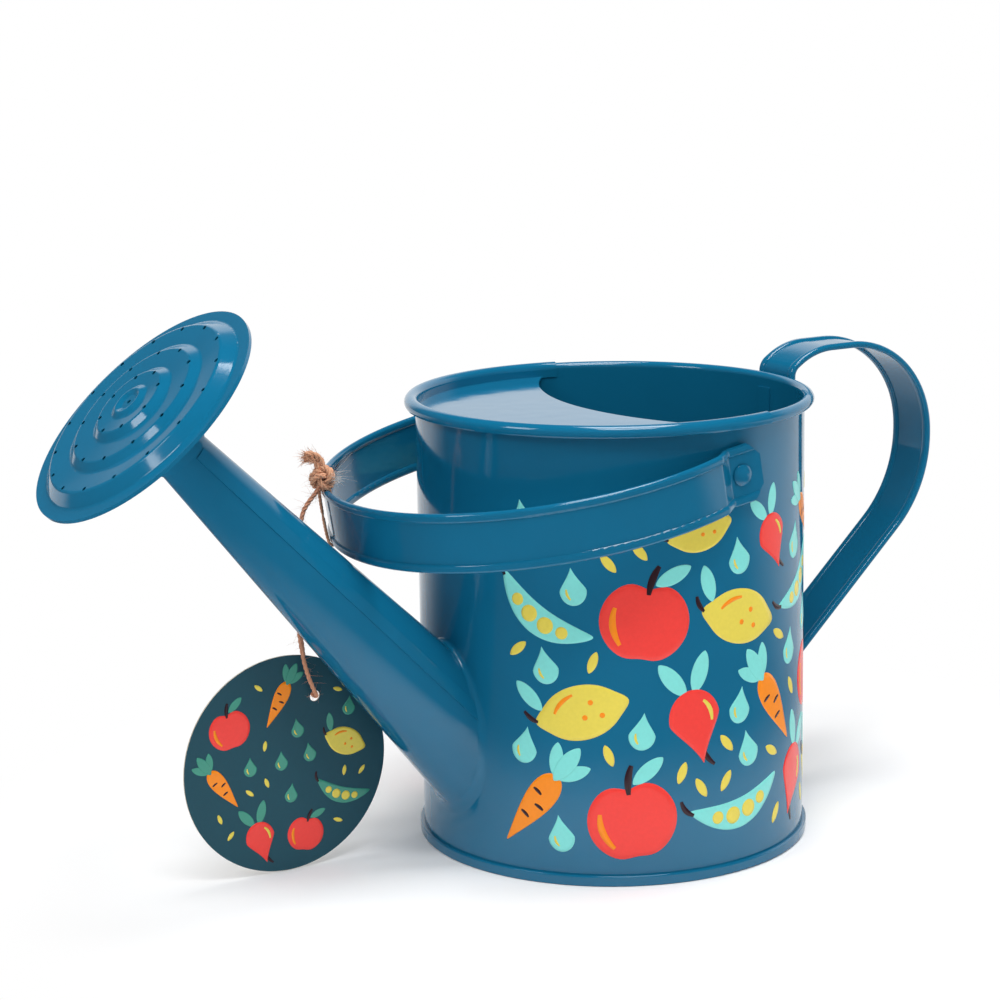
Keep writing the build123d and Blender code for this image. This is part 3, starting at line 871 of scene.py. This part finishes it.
class CAN_OT_knot(bpy.types.Operator):
    """Tie the twine round the bail, with its knot and frayed ends"""

    bl_idname = "can.knot"
    bl_label = "Knot"

    def execute(self, context):
        finish = finish_settings(context)
        # The knot, its fray and its fuzz take a lighter copy of the twine's jute: painted light
        # against the shade between the plies
        material = jute_fibre("jute_knot", shade(finish.jute, KNOT_PAINTED_LIGHT))
        ply = finish.ply_radius / MM
        origin, out, along, up = knot_frame()
        lump = origin + (STRAP_WIDTH / 2 + BALL_LIFT) * up + BALL_OUT * out
        parts = []
        for shift in LOOP_SHIFTS:
            loop = strap_loop(origin, out, along, up, shift)
            parts.append(plies(loop, loop - (origin + shift * along), LOOP_PLY * ply, LOOP_PITCH))
        knot = overhand(lump, out, along, up)
        parts += doubled(knot, knot - lump, BALL_GAP, BALL_PLY * ply, BALL_PITCH)
        steps = np.linspace(0.0, 1.0, TAIL_STEPS)[:, None]
        tail = bow(lump + TAIL_RISE * up, TAIL_BEND, TAIL_TIP, steps)
        facing = np.tile(along, (len(tail), 1))
        parts += doubled(tail, facing, TAIL_GAP, TAIL_PLY * ply, TAIL_PITCH)
        rng = np.random.default_rng(SEED + 1)
        hairs = [frayed_end(rng, tail, facing, FRAY_COUNT), ball_fuzz(rng, lump, FUZZ_COUNT)]
        piece = add_piece("twine_tie", *joined(parts), "bail", material, "jute")
        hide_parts("twine_knot")
        add_piece("twine_fray", *joined(hairs), "bail", material, "jute")
        pale = jute_fibre("jute_wisp", finish.wisp)
        stray = wisps(rng, lump, -unit(out - 0.5 * along), WISP_COUNT)
        add_piece("twine_wisps", *stray, "bail", pale, "jute")
        return {"FINISHED"}


def doubled(path, reference, gap, ply_radius, pitch):
    """Two strands side by side, each one gap from the path along its binormal."""
    _, _, binormal = path_frames(path, reference)
    strands = [path + side * gap * binormal for side in (-1.0, 1.0)]
    return [plies(strand, reference, ply_radius, pitch) for strand in strands]


def frayed_end(rng, tail, facing, count):
    """Fibres rooted over the tail, more of them towards its tip, that splay as they run on."""
    tangent, normal, binormal = path_frames(tail, facing)
    at = (len(tail) * np.sqrt(rng.uniform(0.1, 1.0, count))).astype(int) - 1
    across = rng.normal(size=(count, 2)) * FRAY_SPREAD
    root = tail[at] + across[:, :1] * binormal[at] + across[:, 1:] * normal[at]
    splay = FRAY_SPLAY * across[:, :1] * binormal[at]
    aim = unit(tangent[at] + splay + FRAY_LEAN * rng.normal(size=(count, 3)))
    lengths = rng.uniform(*FRAY_LENGTHS, count)
    curls = FRAY_CURL * rng.normal(size=(count, 3))
    return fibres(root, aim, lengths, curls, FRAY_THICKNESS)


def ball_fuzz(rng, lump, count):
    """Short hairs that stand off the knot on all sides."""
    ball = unit(rng.normal(size=(count, 3)))
    lean = unit(ball + FUZZ_LEAN * rng.normal(size=(count, 3)))
    lengths = rng.uniform(*FUZZ_LENGTHS, count)
    curls = FUZZ_CURL * rng.normal(size=(count, 3))
    return fibres(lump + FUZZ_RADIUS * ball, lean, lengths, curls, FUZZ_THICKNESS)


def wisps(rng, lump, aim, count):
    """Long fine fibres that stray from one side of the knot."""
    lean = unit(aim + WISP_LEAN * rng.normal(size=(count, 3)))
    curls = WISP_CURL * rng.normal(size=(count, 3))
    lengths = rng.uniform(*WISP_LENGTHS, count)
    return fibres(lump + WISP_RADIUS * lean, lean, lengths, curls, WISP_THICKNESS)


def knot_frame():
    """Middle of the strap under the knot, with the ways outward, along the strap and across it."""
    c, s = np.cos(BAIL_DROP), np.sin(BAIL_DROP)
    tilt = np.array([[c, 0.0, -s], [0.0, 1.0, 0.0], [s, 0.0, c]])
    out_x = -np.sqrt(BAIL_RADIUS**2 - KNOT_Y**2)
    origin = PIVOT + tilt @ np.array([BAIL_CENTRE_X + out_x, KNOT_Y, 0.0])
    out = tilt @ unit(np.array([out_x, KNOT_Y, 0.0]))
    up = tilt @ np.array([0.0, 0.0, 1.0])
    return origin, out, np.cross(up, out), up


def strap_loop(origin, out, along, up, shift, steps=140):
    """Loop that hugs both hems of the strap: a squared ellipse, from powers of cos t and sin t."""
    t = np.linspace(0.0, 2.0 * np.pi, steps)
    wide = HEM_THICKNESS / 2 + LOOP_GAP
    tall = STRAP_WIDTH / 2 + LOOP_GAP
    x = wide * np.sign(np.cos(t)) * np.abs(np.cos(t)) ** 0.35
    z = tall * np.sign(np.sin(t)) * np.abs(np.sin(t)) ** 0.75
    return origin + x[:, None] * out + shift * along + z[:, None] * up


def overhand(centre, out, along, up, steps=220):
    """Trefoil at angle 2t: radius size (2 + wave cos 3t), with depth sin 3t along the strap."""
    t = np.linspace(0.0, 2.0 * np.pi, steps)
    radius = BALL_SIZE * (2.0 + BALL_WAVE * np.cos(3.0 * t))
    x = radius * np.cos(2.0 * t)
    y = radius * np.sin(2.0 * t)
    z = BALL_DEPTH * np.sin(3.0 * t)
    return centre + x[:, None] * out + z[:, None] * along + y[:, None] * up


class CAN_OT_stage(bpy.types.Operator):
    """Set the floor, the soft light, the white surround and the camera"""

    bl_idname = "can.stage"
    bl_label = "Stage"

    def execute(self, context):
        scene = context.scene
        scene.view_settings.view_transform = "Standard"
        build_floor()
        build_world(scene)
        for light in LIGHTS:
            soft_light(*light)
        camera = bpy.data.objects.new("camera", bpy.data.cameras.new("camera"))
        camera.data.lens = CAMERA_LENS
        camera.data.sensor_width = CAMERA_SENSOR
        camera.data.sensor_fit = "HORIZONTAL"
        camera.matrix_world = stood(CAMERA_RIGHT, CAMERA_ABOVE, -CAMERA_FORWARD, CAMERA_PLACE)
        scene.collection.objects.link(camera)
        scene.camera = camera
        return {"FINISHED"}


def stood(right, above, back, place):
    """The turn and place of a thing whose own axes point right, above and back."""
    columns = np.eye(4)
    columns[:3] = np.stack([right, above, back, place], axis=-1)
    return Matrix(columns.tolist())


def build_floor():
    """Level round floor: (r cos a, r sin a, 0) on rings and spokes, white far from the can."""
    radius = np.linspace(0.0, FLOOR_RADIUS, FLOOR_RINGS + 1)[1:, None]
    angle = np.linspace(0.0, 2.0 * np.pi, FLOOR_SPOKES, endpoint=False)
    level = np.zeros((FLOOR_RINGS, FLOOR_SPOKES))
    flat = np.stack([radius * np.cos(angle), radius * np.sin(angle), level], axis=-1)
    points = np.r_[np.zeros((1, 3)), flat.reshape(-1, 3)]
    faces = [list(map(int, face)) for face in disc_faces(FLOOR_RINGS, FLOOR_SPOKES)]
    mesh = bpy.data.meshes.new("floor")
    mesh.from_pydata(points.tolist(), [], faces)
    material, tree, shader = new_material("pale_floor")
    shader.inputs["Base Color"].default_value = (0.97, 0.97, 0.97, 1.0)
    shader.inputs["Roughness"].default_value = 0.9
    shader.inputs["Specular IOR Level"].default_value = 0.05
    where = tree.nodes.new("ShaderNodeTexCoord")
    span = tree.nodes.new("ShaderNodeVectorMath")
    span.operation = "LENGTH"
    tree.links.new(where.outputs["Object"], span.inputs[0])
    fade = stepped(tree, span.outputs["Value"], FLOOR_FADE, 0.0, 1.0)
    white = tree.nodes.new("ShaderNodeEmission")
    strength = seen_strength(tree, where.outputs["Object"], FLOOR_BRIGHT)
    tree.links.new(strength, white.inputs["Strength"])
    seen = reckoned(tree, "MULTIPLY", fade, watched(tree))
    show_mixed(tree, seen, shader, white, "Material Output")
    mesh.materials.append(material)
    floor = bpy.data.objects.new("floor", mesh)
    bpy.context.scene.collection.objects.link(floor)


def reckoned(tree, operation, first, second):
    """The product, or the larger, of two values."""
    node = tree.nodes.new("ShaderNodeMath")
    node.operation = operation
    tree.links.new(first, node.inputs[0])
    tree.links.new(second, node.inputs[1])
    return node.outputs[0]


def show_mixed(tree, fac, first, second, output):
    """Shows a mix of two shaders that runs from the first to the second with fac."""
    mix = tree.nodes.new("ShaderNodeMixShader")
    tree.links.new(fac, mix.inputs["Fac"])
    tree.links.new(first.outputs[0], mix.inputs[1])
    tree.links.new(second.outputs[0], mix.inputs[2])
    tree.links.new(mix.outputs[0], tree.nodes[output].inputs["Surface"])


def watched(tree):
    """One where the surround is seen straight, mirrored or through glass, otherwise nought."""
    path = tree.nodes.new("ShaderNodeLightPath")
    straight, mirrored, through = (
        path.outputs[f"Is {kind} Ray"] for kind in ("Camera", "Glossy", "Transmission")
    )
    return reckoned(tree, "MAXIMUM", reckoned(tree, "MAXIMUM", straight, mirrored), through)


def build_world(scene):
    """White where it is seen, and a plain soft grey where it lights."""
    world = bpy.data.worlds.new("surround")
    world.use_nodes = True
    tree = world.node_tree
    soft = tree.nodes["Background"]
    soft.inputs["Color"].default_value = (0.97, 0.98, 1.0, 1.0)
    soft.inputs["Strength"].default_value = SURROUND_STRENGTH
    white = tree.nodes.new("ShaderNodeBackground")
    white.inputs["Color"].default_value = (1.0, 1.0, 1.0, 1.0)
    where = tree.nodes.new("ShaderNodeTexCoord")
    strength = seen_strength(tree, where.outputs["Generated"], WORLD_BRIGHT)
    tree.links.new(strength, white.inputs["Strength"])
    show_mixed(tree, watched(tree), soft, white, "World Output")
    scene.world = world


def seen_strength(tree, place, bright):
    """Full white to the eye; mirrored, it is white low on the bright side and dim elsewhere."""
    toward = tree.nodes.new("ShaderNodeVectorMath")
    toward.operation = "DOT_PRODUCT"
    toward.inputs[1].default_value = BRIGHT_SIDE
    tree.links.new(place, toward.inputs[0])
    parts = tree.nodes.new("ShaderNodeSeparateXYZ")
    tree.links.new(place, parts.inputs["Vector"])
    side = stepped(tree, toward.outputs["Value"], bright, ROOM_DIM, 1.0)
    low = stepped(tree, parts.outputs["Z"], CEILING_STEP, 1.0, CEILING_DIM)
    path = tree.nodes.new("ShaderNodeLightPath")
    mirrored = reckoned(tree, "MULTIPLY", side, low)
    return reckoned(tree, "MAXIMUM", path.outputs["Is Camera Ray"], mirrored)


def stepped(tree, value, span, first, last):
    """A smooth step from first to last as value goes through the span."""
    node = tree.nodes.new("ShaderNodeMapRange")
    node.interpolation_type = "SMOOTHSTEP"
    numbers = (*span, first, last)
    for label, number in zip(("From Min", "From Max", "To Min", "To Max"), numbers):
        node.inputs[label].default_value = number
    tree.links.new(value, node.inputs["Value"])
    return node.outputs["Result"]


def soft_light(name, place, target, wide, tall, power, mirrored):
    """Flat lamp turned towards a point; one that isn't mirrored leaves no patch on the gloss."""
    lamp = bpy.data.lights.new(name, "AREA")
    lamp.shape = "RECTANGLE"
    lamp.size = wide
    lamp.size_y = tall
    lamp.energy = power
    holder = bpy.data.objects.new(name, lamp)
    holder.visible_glossy = mirrored
    back = unit(np.asarray(place) - np.asarray(target))
    right = unit(np.cross(np.array([0.0, 0.0, 1.0]), back))
    holder.matrix_world = stood(right, np.cross(back, right), back, place)
    bpy.context.scene.collection.objects.link(holder)


class CAN_PT_finish(bpy.types.Panel):
    """Steps and settings of the can's finish"""

    bl_label = "Watering can"
    bl_idname = "CAN_PT_finish"
    bl_space_type = "VIEW_3D"
    bl_region_type = "UI"
    bl_category = "Can"

    def draw(self, context):
        for step in STEPS:
            self.layout.operator(step.bl_idname)
        for name in CanFinish.__annotations__:
            self.layout.prop(finish_settings(context), name)


STEPS = (
    CAN_OT_stage,
    CAN_OT_enamel,
    CAN_OT_solder,
    CAN_OT_body_print,
    CAN_OT_tag_print,
    CAN_OT_twine,
    CAN_OT_knot,
)
CLASSES = (CanFinish, *STEPS, CAN_PT_finish)


def register():
    """Registers the classes and the scene's settings."""
    for cls in CLASSES:
        bpy.utils.register_class(cls)
    bpy.types.Scene.can_finish = PointerProperty(type=CanFinish)


def unregister():
    """Takes the classes and the settings away again."""
    del bpy.types.Scene.can_finish
    for cls in reversed(CLASSES):
        bpy.utils.unregister_class(cls)


def main():
    """Registers the add-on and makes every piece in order."""
    register()
    bpy.ops.can.stage()
    bpy.ops.can.enamel()
    bpy.ops.can.solder()
    bpy.ops.can.body_print()
    bpy.ops.can.tag_print()
    bpy.ops.can.twine()
    bpy.ops.can.knot()


if __name__ == "__main__":
    main()
